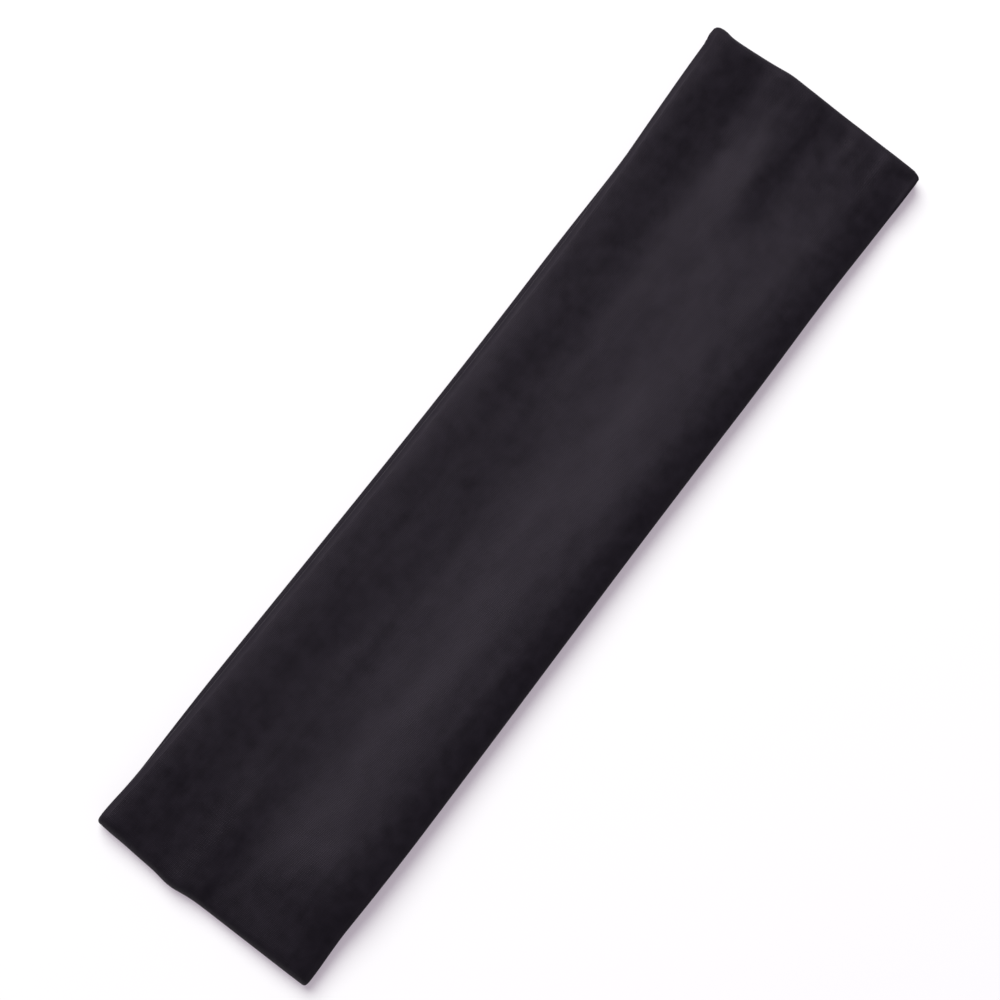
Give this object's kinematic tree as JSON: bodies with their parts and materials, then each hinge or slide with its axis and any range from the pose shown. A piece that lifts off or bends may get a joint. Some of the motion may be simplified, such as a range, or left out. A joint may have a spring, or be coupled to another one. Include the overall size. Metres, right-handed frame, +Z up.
{
  "type": "sports headband",
  "caption": "Stretch-knit sports headband, a sewn tube of jersey closed to a loop by an end seam, lying flat with its front half over its back half.",
  "frame": {"origin": "middle of the underside of the flattened loop, on the surface it lies on", "axes": "+X along the flattened loop to the fold that holds the end seam, +Y across the band's width to the long edge nearer the long seam, +Z up, from the back half to the front half"},
  "size_m": [0.235, 0.058, 0.0063],
  "materials": {
    "jersey": "matte black polyester and spandex jersey knit with a faint soft sheen",
    "sewing_thread": "black spun polyester sewing thread, slightly glossy"
  },
  "bodies": {
    "root": {"band_cloth_strip": "jersey", "long_seam_needle_thread": "sewing_thread", "long_seam_upper_looper_thread": "sewing_thread", "long_seam_lower_looper_thread": "sewing_thread", "end_seam_needle_thread": "sewing_thread", "end_seam_upper_looper_thread": "sewing_thread", "end_seam_lower_looper_thread": "sewing_thread"}
  },
  "joints": []
}
